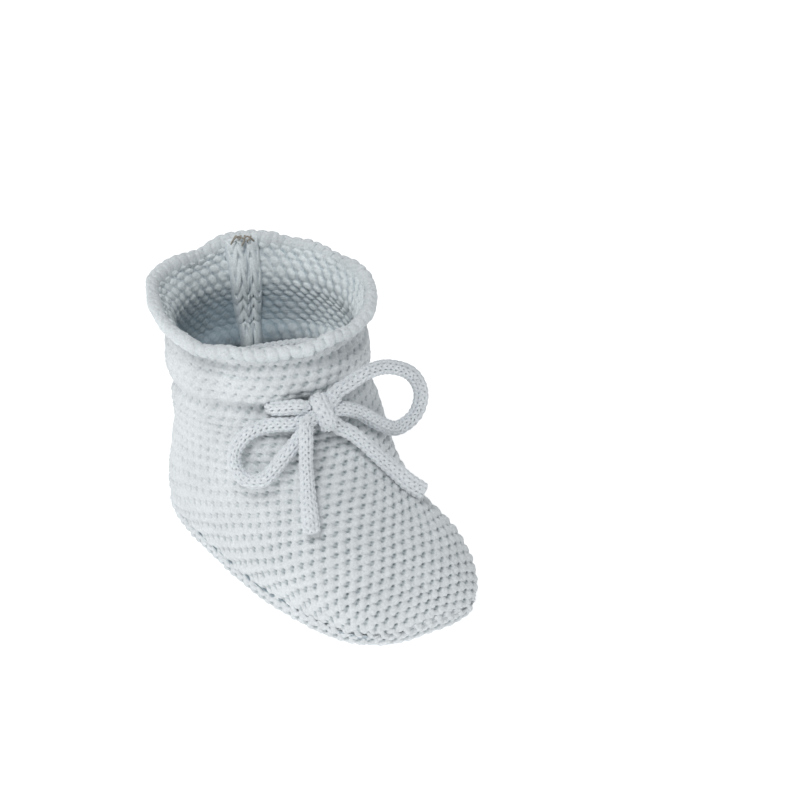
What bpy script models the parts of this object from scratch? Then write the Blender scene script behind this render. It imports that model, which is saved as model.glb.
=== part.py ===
"""Baby bootie: a knitted sock-shaped upper on a knitted sole, drawn in at the ankle by a knitted cord.

Metres, +Z up. The toe points to -Y, and the origin is under the middle of the sole, on the ground.
"""
import bpy
import bmesh
import numpy as np
from math import radians
from mathutils import Vector

MM = 0.001

# Knitted fabric
FABRIC = 2.4 * MM
SOLE_FABRIC = 3.2 * MM
GAP = 0.35 * MM

# Drawn-in ankle: the collar of the foot is part of a ball, and the cuff turns on it
ANKLE = Vector((0.0, 20.5, 60.0)) * MM
ANKLE_TILT = radians(10.0)
COLLAR_RADIUS = 27.4 * MM
CUFF_RADIUS = 30.2 * MM
CUFF_FOOT = 3.5 * MM

# Sole and the sewn join above it
SEAM_HEIGHT = 5.2 * MM
GROOVE_RADIUS = 1.0 * MM
SEAM_RADIUS = 0.65 * MM

# Rolled edge at the top of the cuff
ROLL_RADIUS = 2.0 * MM

# Inner back seam, turned a little to one side of the heel
SEAM_TURN = radians(20.0)
SEAM_WIDTH = 8.5 * MM
SEAM_THICKNESS = 2.8 * MM

# Drawstring
CORD_RADIUS = 2.15 * MM
KNOT = Vector((-5.0, -16.5, 64.5)) * MM
EYELET_RADIUS = 3.1 * MM

RING_POINTS = 40

# Sections of the outside of the foot, from the collar to the toe, in millimetres:
# front or top point (y, z), back or bottom point (y, z), half width, roundness above and below, middle x
FOOT_SECTIONS = [
    ((-8.3, 60.2), (49.8, 49.6), 29.1, 2.0, 2.0, 0.4),
    ((-15.5, 55.5), (50.5, 42.0), 29.9, 2.0, 2.0, 1.3),
    ((-22.0, 50.0), (54.5, 28.5), 29.9, 2.0, 2.1, 1.5),
    ((-28.0, 45.5), (56.5, 12.0), 29.4, 2.0, 2.4, 1.6),
    ((-33.0, 42.0), (50.5, 0.0), 29.0, 2.1, 2.6, 1.8),
    ((-39.0, 37.0), (26.5, -1.5), 29.0, 2.1, 2.8, 2.0),
    ((-44.5, 32.5), (1.0, -1.5), 29.2, 2.2, 3.0, 2.8),
    ((-49.0, 27.5), (-21.0, -1.5), 28.0, 2.3, 3.0, 4.1),
    ((-53.0, 20.0), (-40.5, -1.5), 24.6, 2.4, 3.0, 5.2),
    ((-55.6, 12.0), (-52.0, 0.5), 17.6, 2.4, 2.6, 6.4),
    ((-56.6, 7.5), (-56.0, 4.5), 9.0, 2.0, 2.0, 6.8),
]

# Heights of the collar sections above the middle of the ankle, in millimetres
COLLAR_HEIGHTS = [10.0, 6.5, 3.0, -0.5, -3.4]

# Sections of the outside of the cuff above its lower edge, in the same terms as the foot
CUFF_SECTIONS = [
    ((-9.3, 73.0), (51.9, 66.0), 30.4, 2.0, 2.0, 0.3),
    ((-7.6, 76.0), (52.0, 73.0), 30.2, 2.0, 2.0, 0.1),
    ((-7.8, 79.8), (54.5, 82.6), 32.0, 2.0, 2.0, 0.0),
]
ROLL_SECTION = ((-6.6, 82.2), (54.6, 85.0), 32.0, 2.0, 2.0, 0.0)


def clear_scene():
    for obj in list(bpy.data.objects):
        bpy.data.objects.remove(obj, do_unlink=True)


def new_collection(name):
    collection = bpy.data.collections.new(name)
    bpy.context.scene.collection.children.link(collection)
    return collection


def knit_material(name, colour, roughness=0.95):
    mat = bpy.data.materials.new(name)
    mat.use_nodes = True
    shader = mat.node_tree.nodes["Principled BSDF"]
    shader.inputs["Base Color"].default_value = (*colour, 1.0)
    shader.inputs["Roughness"].default_value = roughness
    shader.inputs["Metallic"].default_value = 0.0
    return mat


def place(obj, collection, mat=None):
    for old in list(obj.users_collection):
        old.objects.unlink(obj)
    collection.objects.link(obj)
    if mat is not None:
        obj.data.materials.clear()
        obj.data.materials.append(mat)
    return obj


def smooth_curve(xs, ys, at):
    """Monotone cubic curve through (xs, ys), so a section never bulges past its neighbours."""
    xs = np.asarray(xs, float)
    ys = np.asarray(ys, float)
    at = np.asarray(at, float)
    step = np.diff(xs)
    slope = np.diff(ys) / step
    tangent = np.zeros_like(ys)
    for i in range(1, len(xs) - 1):
        if slope[i - 1] * slope[i] > 0:
            a = 2 * step[i] + step[i - 1]
            b = step[i] + 2 * step[i - 1]
            tangent[i] = (a + b) / (a / slope[i - 1] + b / slope[i])
    tangent[0] = slope[0]
    tangent[-1] = slope[-1]
    i = np.clip(np.searchsorted(xs, at, side="right") - 1, 0, len(step) - 1)
    u = (at - xs[i]) / step[i]
    rise = ys[i] * (1 + 2 * u) * (1 - u) ** 2 + ys[i + 1] * u * u * (3 - 2 * u)
    lean = tangent[i] * u * (1 - u) ** 2 + tangent[i + 1] * u * u * (u - 1)
    return rise + step[i] * lean


def section_row(section):
    (front_y, front_z), (back_y, back_z), half, above, below, middle = section
    return [front_y, front_z, back_y, back_z, half, above, below, middle]


def tilted_circle(radius, height):
    """Section of the ankle: a circle in the tilted ankle plane, a height above its middle."""
    c = np.cos(ANKLE_TILT)
    s = np.sin(ANKLE_TILT)
    y = ANKLE.y + height * s
    z = ANKLE.z + height * c
    front = (y - radius * c, z + radius * s)
    back = (y + radius * c, z - radius * s)
    return [v / MM for v in (*front, *back, radius)] + [2.0, 2.0, 0.0]


def ring_point(row, angle):
    """Point of a section in metres. Angle 0 is its front or top, 180 degrees its back or bottom."""
    front_y, front_z, back_y, back_z, half, above, below, middle = row
    c = np.cos(angle)
    s = np.sin(angle)
    power = above if c > 0 else below
    x = middle + half * np.sign(s) * abs(s) ** (2 / power)
    along = (1 - np.sign(c) * abs(c) ** (2 / power)) / 2
    y = front_y + (back_y - front_y) * along
    z = front_z + (back_z - front_z) * along
    return Vector((x, y, z)) * MM


def ring(row, count=RING_POINTS):
    return [ring_point(row, 2 * np.pi * k / count) for k in range(count)]


def rows_between(rows, at):
    """Sections read from smooth curves through the given ones, at places counted in sections."""
    table = np.array(rows)
    places = np.arange(len(table))
    return np.array([smooth_curve(places, table[:, k], at) for k in range(table.shape[1])]).T


def loft(name, rings, close_start=False, close_end=False):
    """Skin over rings of equal count. Its faces point away from the rings' middle line."""
    bm = bmesh.new()
    grid = [[bm.verts.new(p) for p in points] for points in rings]
    count = len(grid[0])
    for a, b in zip(grid[:-1], grid[1:]):
        for k in range(count):
            n = (k + 1) % count
            bm.faces.new((a[k], b[k], b[n], a[n]))
    if close_start:
        bm.faces.new(grid[0])
    if close_end:
        bm.faces.new(grid[-1][::-1])
    bmesh.ops.recalc_face_normals(bm, faces=bm.faces)
    middle = sum((v.co for v in grid[len(grid) // 2]), Vector()) / count
    probe = grid[len(grid) // 2][0].link_faces[0]
    if probe.normal.dot(probe.calc_center_median() - middle) < 0:
        bmesh.ops.reverse_faces(bm, faces=bm.faces)
    mesh = bpy.data.meshes.new(name)
    bm.to_mesh(mesh)
    bm.free()
    mesh.shade_smooth()
    mesh.set_sharp_from_angle(angle=radians(50))
    return bpy.data.objects.new(name, mesh)


def solidify(obj, thickness):
    mod = obj.modifiers.new("Fabric", "SOLIDIFY")
    mod.thickness = thickness
    mod.offset = -1.0
    mod.use_even_offset = True
    return mod


def cut(obj, cutter, operation="DIFFERENCE"):
    mod = obj.modifiers.new("Cut " + cutter.name, "BOOLEAN")
    mod.operation = operation
    mod.object = cutter
    mod.solver = "EXACT"
    return mod


def as_cutter(obj, collection):
    place(obj, collection)
    obj.hide_render = True
    obj.display_type = "WIRE"
    return obj


def smooth_route(points, step, closed=False):
    """Points a set distance apart on a smooth curve through a cord's route points."""
    route = np.array([tuple(p) for p in points])
    if closed:
        route = np.vstack([route[-2:], route, route[:3]])
    else:
        route = np.vstack([2 * route[0] - route[1], route, 2 * route[-1] - route[-2]])
    dense = []
    for i in range(1, len(route) - 2):
        p0, p1, p2, p3 = route[i - 1:i + 3]
        for u in np.linspace(0, 1, 24, endpoint=False):
            bend = (2 * p0 - 5 * p1 + 4 * p2 - p3) * u * u + (3 * p1 - p0 - 3 * p2 + p3) * u ** 3
            dense.append(p1 + 0.5 * ((p2 - p0) * u + bend))
    dense.append(route[-2])
    dense = np.array(dense)
    if closed:
        dense = dense[24:-24]
    length = np.concatenate([[0], np.cumsum(np.linalg.norm(np.diff(dense, axis=0), axis=1))])
    count = max(3, int(round(length[-1] / step)) + 1)
    at = np.linspace(0, length[-1], count)
    return [Vector([np.interp(a, length, dense[:, k]) for k in range(3)]) for a in at]


def tube(name, points, radius, resolution=2, origin=None, closed=False):
    """Round cord as a curve with a bevel, on points given in world space."""
    origin = Vector((0, 0, 0)) if origin is None else origin
    curve = bpy.data.curves.new(name, "CURVE")
    curve.dimensions = "3D"
    curve.bevel_depth = radius
    curve.bevel_resolution = resolution
    curve.use_fill_caps = not closed
    spline = curve.splines.new("POLY")
    spline.points.add(len(points) - 1)
    spline.use_cyclic_u = closed
    spline.use_smooth = True
    for target, p in zip(spline.points, points):
        target.co = (*(p - origin), 1.0)
    obj = bpy.data.objects.new(name, curve)
    obj.location = origin
    return obj


def curve_to_mesh(obj):
    """The same tube as a mesh, with its caps welded, so it can be cut or be a cutter."""
    holder = bpy.context.scene.collection
    holder.objects.link(obj)
    bpy.context.view_layer.update()
    evaluated = obj.evaluated_get(bpy.context.evaluated_depsgraph_get())
    mesh = bpy.data.meshes.new_from_object(evaluated)
    bm = bmesh.new()
    bm.from_mesh(mesh)
    bmesh.ops.remove_doubles(bm, verts=bm.verts, dist=0.00001)
    bmesh.ops.recalc_face_normals(bm, faces=bm.faces)
    bm.to_mesh(mesh)
    bm.free()
    name = obj.name
    matrix = obj.matrix_world.copy()
    bpy.data.objects.remove(obj, do_unlink=True)
    result = bpy.data.objects.new(name, mesh)
    result.matrix_world = matrix
    return result


def box_cutter(name, low, high, collection):
    bpy.ops.mesh.primitive_cube_add(size=1.0)
    obj = bpy.context.active_object
    obj.name = name
    low = Vector(low)
    high = Vector(high)
    for v in obj.data.vertices:
        v.co = Vector([v.co[k] * (high[k] - low[k]) for k in range(3)])
    obj.location = (low + high) / 2
    return as_cutter(obj, collection)


def foot_rows():
    heights = [h * MM for h in COLLAR_HEIGHTS]
    collar = [tilted_circle((COLLAR_RADIUS ** 2 - h ** 2) ** 0.5, h) for h in heights]
    return collar, [section_row(s) for s in FOOT_SECTIONS]


def foot_rings():
    collar, foot = foot_rows()
    fine = np.concatenate([np.arange(0, 7, 0.75), np.arange(7, 9.5, 0.5), [9.5, 10.0]])
    return [ring(r) for r in collar] + [ring(r) for r in rows_between(foot, fine)]


def height_outline(height, count):
    """Outline of the foot at a height, walked from the heel along +X to the toe and back along -X."""
    foot = [section_row(s) for s in FOOT_SECTIONS]
    half = []
    for place_at in np.linspace(3.0, 10.0, 500):
        row = rows_between(foot, [place_at])[0]
        if ring_point(row, np.pi).z > height or ring_point(row, 0.0).z < height:
            continue
        low = 0.0
        high = np.pi
        for _ in range(40):
            mid = (low + high) / 2
            if ring_point(row, mid).z > height:
                low = mid
            else:
                high = mid
        half.append(ring_point(row, mid))
    mirrored = [Vector((2 * rows_middle(p.y, half) - p.x, p.y, p.z)) for p in reversed(half)]
    loop = half + mirrored
    loop.append(loop[0])
    loop = np.array([tuple(p) for p in loop])
    length = np.concatenate([[0], np.cumsum(np.linalg.norm(np.diff(loop, axis=0), axis=1))])
    at = np.linspace(0, length[-1], count, endpoint=False)
    return [Vector([np.interp(a, length, loop[:, k]) for k in range(3)]) for a in at]


def rows_middle(y, half):
    """Middle x of the outline at a given y: the foot swings a little to +X toward its toe."""
    foot = np.array([section_row(s) for s in FOOT_SECTIONS[3:]])
    return float(np.interp(-y / MM, -foot[:, 2], foot[:, 7])) * MM


def wall_frame(row, angle):
    """Point on a section, its direction outward from the section's middle."""
    p = ring_point(row, angle)
    middle = (ring_point(row, 0.0) + ring_point(row, np.pi)) / 2
    return p, (p - middle).normalized()


def seam_bar(name, rows, turns, inset):
    """Folded seam allowance: a rounded flat bar that runs down the inside of the wall."""
    rings = []
    for row, turn in zip(rows, turns):
        p, outward = wall_frame(row, np.pi - turn)
        side = Vector((outward.y, -outward.x, 0)).normalized()
        near = p - outward * inset
        profile = []
        for k in range(12):
            a = 2 * np.pi * k / 12
            across = np.sign(np.cos(a)) * abs(np.cos(a)) ** 0.6 * SEAM_WIDTH / 2
            deep = (np.sign(np.sin(a)) * abs(np.sin(a)) ** 0.6 - 1) * SEAM_THICKNESS / 2
            bow = -across * across / (2 * row[4] * MM)
            profile.append(near + side * across + outward * (deep + bow))
        rings.append(profile)
    return loft(name, rings, close_start=True, close_end=True)


clear_scene()
parts = new_collection("baby_bootie")
cutters = new_collection("cutters")

PALE_BLUE = (0.60, 0.66, 0.68)
CORD_BLUE = (0.58, 0.65, 0.67)
THREAD = (0.34, 0.29, 0.24)

# Foot: one knitted tube from the collar to the toe, cut off where the sole is sewn on
foot_upper = loft("foot_upper", foot_rings(), close_end=True)
place(foot_upper, parts, knit_material("foot_knit", PALE_BLUE))
solidify(foot_upper, FABRIC)

outline = height_outline(SEAM_HEIGHT, 72)
below_seam = box_cutter("below_seam", (-0.06, -0.08, -0.02), (0.06, 0.08, SEAM_HEIGHT + GAP / 2), cutters)
above_seam = box_cutter("above_seam", (-0.06, -0.08, SEAM_HEIGHT - GAP / 2), (0.06, 0.08, 0.12), cutters)
below_ground = box_cutter("below_ground", (-0.06, -0.08, -0.02), (0.06, 0.08, 0.0), cutters)
groove = as_cutter(curve_to_mesh(tube("seam_groove", outline, GROOVE_RADIUS, 2, closed=True)), cutters)
cut(foot_upper, below_seam)
cut(foot_upper, groove)

# Eyelets: two holes through the collar, beside the knot, where the cord comes out
cutter_axis = Vector((0.0, -np.cos(ANKLE_TILT), np.sin(ANKLE_TILT)))
eyelet_height = -1.0 * MM
eyelets = []
for side, eyelet_x in (("left", -13.5 * MM), ("right", 5.0 * MM)):
    reach = (COLLAR_RADIUS ** 2 - eyelet_x ** 2) ** 0.5
    lift = Vector((0.0, np.sin(ANKLE_TILT), np.cos(ANKLE_TILT))) * eyelet_height
    spot = ANKLE + lift + Vector((eyelet_x, 0, 0)) + cutter_axis * reach
    eyelets.append(spot)
    outward = (spot - ANKLE).normalized()
    bpy.ops.mesh.primitive_cylinder_add(vertices=16, radius=EYELET_RADIUS, depth=12 * MM, location=spot)
    hole = bpy.context.active_object
    hole.name = "eyelet_" + side
    hole.rotation_mode = "QUATERNION"
    hole.rotation_quaternion = outward.to_track_quat("Z", "Y")
    cut(foot_upper, as_cutter(hole, cutters))

# Sole: a knitted tray under the foot, as wide as the foot is at the seam
sole_shape = loft("sole", foot_rings()[7:], close_start=True, close_end=True)
sole = place(sole_shape, parts, knit_material("sole_knit", PALE_BLUE))
cut(sole, above_seam)
cut(sole, below_ground)
inner_outline = height_outline(SEAM_HEIGHT, 48)
pocket_low = []
pocket_high = []
for k, p in enumerate(inner_outline):
    before = inner_outline[k - 1]
    after = inner_outline[(k + 1) % len(inner_outline)]
    inward = (after - before).cross(Vector((0, 0, 1))).normalized()
    if inward.dot(p - Vector((0.002, 0.0, p.z))) > 0:
        inward = -inward
    low = p + inward * (FABRIC + 2.2 * MM)
    high = p + inward * (FABRIC + 0.6 * MM)
    pocket_low.append(Vector((low.x, low.y, SOLE_FABRIC)))
    pocket_high.append(Vector((high.x, high.y, SEAM_HEIGHT + 1 * MM)))
pocket = loft("sole_pocket", [pocket_high, pocket_low], close_start=True, close_end=True)
cut(sole, as_cutter(pocket, cutters))
cut(sole, groove)

# Sole seam: the overcast yarn that joins the sole to the foot, in the groove between them
seam = tube("sole_seam", outline, SEAM_RADIUS, 1, closed=True)
place(seam, parts, knit_material("seam_yarn", PALE_BLUE))

# Inner back seam of the foot, from the collar down to the heel, drifting to the middle as it goes
HEEL_PLACES = [0.4, 1.0, 1.5, 2.0, 2.5]
SEAM_RUNOUT = 3.8
collar_rows, section_rows = foot_rows()
heel_rows = collar_rows[1:] + [list(r) for r in rows_between(section_rows, HEEL_PLACES)]
heel_turns = [SEAM_TURN] * (len(collar_rows) - 1)
heel_turns += [SEAM_TURN * (1 - place_at / SEAM_RUNOUT) for place_at in HEEL_PLACES]
heel_seam = seam_bar("heel_seam", heel_rows, heel_turns, FABRIC + 2.0 * MM)
place(heel_seam, parts, knit_material("heel_seam_knit", PALE_BLUE))

# Cuff: the ankle tube above the drawstring, turning on the collar
cuff_pivot = bpy.data.objects.new("ankle_axis", None)
cuff_pivot.location = ANKLE
cuff_pivot.empty_display_size = 0.01
parts.objects.link(cuff_pivot)
cuff_rows = [tilted_circle(CUFF_RADIUS, CUFF_FOOT)] + [section_row(s) for s in CUFF_SECTIONS]
cuff_rings = [ring(r) for r in rows_between(cuff_rows, np.linspace(0, 3, 8))]
ankle_cuff = loft("ankle_cuff", cuff_rings)
place(ankle_cuff, parts, knit_material("cuff_knit", PALE_BLUE))
solidify(ankle_cuff, FABRIC)

roll_row = section_row(ROLL_SECTION)
roll = tube("cast_off_edge", ring(roll_row, 48), ROLL_RADIUS, 2, closed=True)
place(roll, parts, knit_material("edge_knit", PALE_BLUE))

upper_rows = [list(r) for r in rows_between(cuff_rows, [1.75, 2.1, 2.5, 2.9])]
cuff_seam = seam_bar("cuff_seam", upper_rows, [SEAM_TURN] * len(upper_rows), FABRIC + 0.4 * MM)
place(cuff_seam, parts, knit_material("cuff_seam_knit", PALE_BLUE))

# Leftover sewing thread on top of the inner seam
top_row = upper_rows[-1]
seam_top, seam_out = wall_frame(top_row, np.pi - SEAM_TURN)
across = Vector((seam_out.y, -seam_out.x, 0)).normalized()
base = seam_top - seam_out * (FABRIC + 0.4 * MM + SEAM_THICKNESS + 1.0 * MM)
THREAD_SHAPE = [(-3.6, -2.0, 0.0), (-2.4, -0.6, 0.3), (-1.0, 0.2, 0.1), (0.4, -0.3, 0.4),
                (1.6, 0.3, 0.1), (2.6, -0.6, 0.3), (3.4, -2.2, 0.0)]
thread_route = []
for a, h, d in THREAD_SHAPE:
    bow = a * a / (2 * top_row[4])
    lift = Vector((0, 0, h)) * MM
    thread_route.append(base + across * a * MM + lift - seam_out * (d + bow - 0.3) * MM)
thread = tube("seam_thread", smooth_route(thread_route, 0.9 * MM), 0.35 * MM, 1)
place(thread, parts, knit_material("thread", THREAD, 0.8))

for obj in (ankle_cuff, roll, cuff_seam, thread):
    obj.parent = cuff_pivot
    obj.matrix_parent_inverse.identity()
    obj.location = obj.location - ANKLE

# Knot of the bow, a soft lump in front of the ankle
bpy.ops.mesh.primitive_uv_sphere_add(segments=20, ring_count=12, radius=1.0, location=KNOT)
bow_knot = bpy.context.active_object
bow_knot.name = "bow_knot"
bow_knot.data.name = "bow_knot"
for v in bow_knot.data.vertices:
    v.co = Vector((v.co.x * 5.4, v.co.y * 4.6, v.co.z * 6.2)) * MM
bow_knot.rotation_euler = (radians(18), radians(18), 0)
bow_knot.data.shade_smooth()
place(bow_knot, parts, knit_material("knot_knit", CORD_BLUE))

# Drawstring: out of the knot, in through one eyelet, round the inside of the ankle, out of the other
inside = []
bar_side = np.pi - SEAM_TURN
for angle in np.radians(np.linspace(38, 306, 15)):
    near_bar = np.exp(-((angle - bar_side) / radians(32)) ** 4)
    radius = COLLAR_RADIUS - FABRIC - CORD_RADIUS - 0.5 * MM
    radius -= near_bar * (SEAM_THICKNESS + 2.2 * MM)
    inside.append(ring_point(tilted_circle(radius, -1.5 * MM), angle))
left_eyelet, right_eyelet = eyelets
into = (left_eyelet - ANKLE).normalized() * 3.0 * MM
left_stub = [KNOT + Vector((-6.3, 3.4, 1.4)) * MM, left_eyelet + into * 1.3, left_eyelet - into * 1.3]
into = (right_eyelet - ANKLE).normalized() * 3.0 * MM
right_stub = [right_eyelet - into * 1.3, right_eyelet + into * 0.9, KNOT + Vector((2.6, 6.4, 0.0)) * MM]
drawstring_route = smooth_route(left_stub + inside[::-1] + right_stub, 4.0 * MM)
drawstring = tube("ankle_drawstring", drawstring_route, CORD_RADIUS, 2)
place(drawstring, parts, knit_material("drawstring_knit", CORD_BLUE))

# Bow loops and cord ends, each turning at the knot, in millimetres
LOOP_LEFT = [(-12.5, -13.2, 60.7), (-14.8, -11.3, 60.3), (-19.0, -7.5, 59.1), (-23.6, -4.9, 56.4),
             (-26.9, -4.0, 51.6), (-27.6, -5.6, 46.8), (-26.3, -9.5, 44.3), (-23.3, -13.7, 45.6),
             (-20.1, -15.2, 49.3), (-17.2, -16.2, 53.3), (-15.4, -16.6, 55.2)]
LOOP_RIGHT = [(1.6, -15.2, 68.3), (4.9, -15.2, 69.3), (11.5, -15.2, 71.4), (19.2, -15.0, 70.8),
              (26.6, -16.0, 66.8), (30.1, -16.6, 59.7), (28.6, -16.2, 52.4), (22.2, -16.3, 49.7),
              (15.3, -17.1, 53.7), (8.7, -16.6, 59.2), (3.1, -16.8, 62.5)]
END_LEFT = [(-12.2, -19.5, 63.4), (-13.6, -21.4, 60.2), (-13.8, -21.7, 55.9), (-14.3, -22.6, 51.3),
            (-14.8, -24.0, 46.6), (-16.1, -26.5, 42.6), (-17.7, -29.9, 38.8), (-19.0, -32.8, 35.3)]
END_RIGHT = [(-0.4, -19.0, 58.4), (2.2, -20.4, 56.8), (5.3, -23.0, 53.7), (8.6, -26.5, 49.5),
             (11.8, -29.6, 45.6), (15.2, -32.4, 41.4), (19.4, -34.7, 37.7)]
for name, route in (("bow_loop_left", LOOP_LEFT), ("bow_loop_right", LOOP_RIGHT),
                    ("cord_end_left", END_LEFT), ("cord_end_right", END_RIGHT)):
    points = smooth_route([Vector(p) * MM for p in route], 3.6 * MM)
    strand = tube(name, points, CORD_RADIUS, 2, origin=KNOT)
    place(strand, parts, knit_material(name + "_knit", CORD_BLUE))
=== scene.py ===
"""Baby bootie: garter-stitch upper and sole, rolled edge, inner seam, drawstring and bow.

The toe points to -Y. Shapes, yarns and pitches are worked out in millimetres, and meshes are in metres.
"""

from math import cos, pi, radians, sin

import bpy
import numpy as np
from mathutils import Matrix, Vector


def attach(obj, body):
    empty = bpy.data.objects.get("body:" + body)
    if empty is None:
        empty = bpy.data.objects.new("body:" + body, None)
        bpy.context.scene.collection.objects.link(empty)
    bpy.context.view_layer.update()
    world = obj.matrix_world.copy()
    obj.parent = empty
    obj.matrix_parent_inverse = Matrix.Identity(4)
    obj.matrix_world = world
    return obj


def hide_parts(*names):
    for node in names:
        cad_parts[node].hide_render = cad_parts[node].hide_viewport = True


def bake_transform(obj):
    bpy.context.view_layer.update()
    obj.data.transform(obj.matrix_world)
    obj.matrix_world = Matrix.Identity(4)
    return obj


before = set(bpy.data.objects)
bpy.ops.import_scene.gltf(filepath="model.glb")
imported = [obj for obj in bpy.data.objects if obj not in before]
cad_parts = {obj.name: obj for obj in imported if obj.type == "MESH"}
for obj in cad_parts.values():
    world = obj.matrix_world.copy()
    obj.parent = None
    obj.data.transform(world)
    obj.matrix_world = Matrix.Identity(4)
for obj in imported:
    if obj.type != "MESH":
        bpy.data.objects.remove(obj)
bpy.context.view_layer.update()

MM = 0.001

# ---------------------------------------------------------------- camera, lights, floor

AZIMUTH = radians(-33.0)
ELEVATION = radians(31.0)
BACK = Vector((sin(AZIMUTH) * cos(ELEVATION), -cos(AZIMUTH) * cos(ELEVATION), sin(ELEVATION)))
RIGHT = Vector((cos(AZIMUTH), sin(AZIMUTH), 0.0))
UP = BACK.cross(RIGHT)
MIDDLE = Vector((0.0, 2.8, 41.4)) * MM
CAMERA_DISTANCE = 1.0
FRAME_RIGHT = 29.9 * MM
FRAME_UP = 13.4 * MM
SENSOR_WIDTH = 36.0
LENS = 150.66

camera_data = bpy.data.cameras.new("camera")
camera_data.lens = LENS
camera_data.sensor_width = SENSOR_WIDTH
camera_data.clip_start = 0.01
camera = bpy.data.objects.new("camera", camera_data)
camera.location = MIDDLE + BACK * CAMERA_DISTANCE
camera.rotation_mode = "QUATERNION"
# The bootie stands left of and below the middle of the frame, so the camera is turned past it
camera_back = (BACK * CAMERA_DISTANCE - RIGHT * FRAME_RIGHT - UP * FRAME_UP).normalized()
camera_right = (RIGHT - camera_back * RIGHT.dot(camera_back)).normalized()
camera_up = camera_back.cross(camera_right)
camera.rotation_quaternion = Matrix((camera_right, camera_up, camera_back)).transposed().to_quaternion()
bpy.context.scene.collection.objects.link(camera)
bpy.context.scene.camera = camera
bpy.context.scene.view_settings.view_transform = "Standard"

LIT_POINT = Vector((0.0, 0.0, 0.04))


def soft_light(name, direction, distance, size, power, colour=(1.0, 1.0, 1.0)):
    """Round area light that faces the middle of the bootie from a direction."""
    data = bpy.data.lights.new(name, "AREA")
    data.shape = "DISK"
    data.size = size
    data.energy = power
    data.color = colour
    obj = bpy.data.objects.new(name, data)
    obj.location = LIT_POINT + direction.normalized() * distance
    obj.rotation_mode = "QUATERNION"
    obj.rotation_quaternion = direction.normalized().to_track_quat("Z", "Y")
    bpy.context.scene.collection.objects.link(obj)


soft_light("key_light", -0.80 * RIGHT + 0.70 * UP + 0.35 * BACK, 1.1, 0.50, 1.15, (1.0, 0.99, 0.975))
soft_light("front_light", -0.28 * RIGHT + 0.55 * UP + 1.0 * BACK, 1.6, 0.7, 9.8)

world = bpy.data.worlds.new("studio")
bpy.context.scene.world = world
world.use_nodes = True
backdrop = world.node_tree.nodes["Background"]
backdrop.inputs["Color"].default_value = (0.95, 0.98, 1.0, 1.0)
backdrop.inputs["Strength"].default_value = 0.40


def floor_material():
    mat = bpy.data.materials.new("pale_floor")
    mat.use_nodes = True
    shader = mat.node_tree.nodes["Principled BSDF"]
    shader.inputs["Base Color"].default_value = (0.80, 0.80, 0.80, 1.0)
    shader.inputs["Roughness"].default_value = 0.9
    shader.inputs["Specular IOR Level"].default_value = 0.1
    shader.inputs["Emission Color"].default_value = (1.0, 1.0, 1.0, 1.0)
    shader.inputs["Emission Strength"].default_value = 0.62
    return mat


FLOOR_HALF = 2.5
FLOOR_DROP = 0.0004
floor_corners = [(x * FLOOR_HALF, y * FLOOR_HALF, 0) for x, y in ((-1, -1), (1, -1), (1, 1), (-1, 1))]
floor_mesh = bpy.data.meshes.new("floor")
floor_mesh.from_pydata(floor_corners, [], [(0, 1, 2, 3)])
floor_mesh.materials.append(floor_material())
floor = bpy.data.objects.new("floor", floor_mesh)
floor.location.z = -FLOOR_DROP
bpy.context.scene.collection.objects.link(floor)

# ---------------------------------------------------------------- helpers


def smooth_curve(xs, ys, at):
    """Monotone cubic curve through (xs, ys), so a shape never bulges past its neighbours."""
    xs = np.asarray(xs, float)
    ys = np.asarray(ys, float)
    at = np.asarray(at, float)
    step = np.diff(xs)
    slope = np.diff(ys) / step
    tangent = np.zeros_like(ys)
    for i in range(1, len(xs) - 1):
        if slope[i - 1] * slope[i] > 0:
            a = 2 * step[i] + step[i - 1]
            b = step[i] + 2 * step[i - 1]
            tangent[i] = (a + b) / (a / slope[i - 1] + b / slope[i])
    tangent[0] = slope[0]
    tangent[-1] = slope[-1]
    i = np.clip(np.searchsorted(xs, at, side="right") - 1, 0, len(step) - 1)
    u = (at - xs[i]) / step[i]
    rise = ys[i] * (1 + 2 * u) * (1 - u) ** 2 + ys[i + 1] * u * u * (3 - 2 * u)
    lean = tangent[i] * u * (1 - u) ** 2 + tangent[i + 1] * u * u * (u - 1)
    return rise + step[i] * lean


def smoothstep(low, high, x):
    """0 at low and 1 at high, eased at both ends. Low may be the larger of the two."""
    s = np.clip((x - low) / (high - low), 0, 1)
    return s * s * (3 - 2 * s)


def bump(x, middle, width):
    """1 at the middle, fading to both sides."""
    return np.exp(-(((x - middle) / width) ** 2))


def unit(v):
    return v / np.maximum(np.linalg.norm(v, axis=-1, keepdims=True), 1e-9)


def wrapped(angle):
    """The same angle, between -pi and pi."""
    return np.angle(np.exp(1j * angle))


def lengths_along(points):
    """Distance of each point from the first, along a line of points."""
    return np.concatenate([[0], np.cumsum(np.linalg.norm(np.diff(points, axis=0), axis=1))])


def make_object(name, points, quads, shade, mat):
    """Mesh object from points in millimetres, quads as index rows, and a 0 to 1 shade for each point."""
    mesh = bpy.data.meshes.new(name)
    mesh.vertices.add(len(points))
    mesh.vertices.foreach_set("co", (np.asarray(points) * MM).ravel())
    mesh.loops.add(quads.size)
    mesh.loops.foreach_set("vertex_index", quads.astype(np.int32).ravel())
    mesh.polygons.add(len(quads))
    mesh.polygons.foreach_set("loop_start", np.arange(0, quads.size, 4, dtype=np.int32))
    mesh.update(calc_edges=True)
    mesh.validate()
    mesh.shade_smooth()
    layer = mesh.attributes.new("shade", "FLOAT", "POINT")
    layer.data.foreach_set("value", np.clip(shade, 0, 1).astype(np.float32).ravel())
    mesh.materials.append(mat)
    obj = bpy.data.objects.new(name, mesh)
    bpy.context.scene.collection.objects.link(obj)
    return obj


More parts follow.
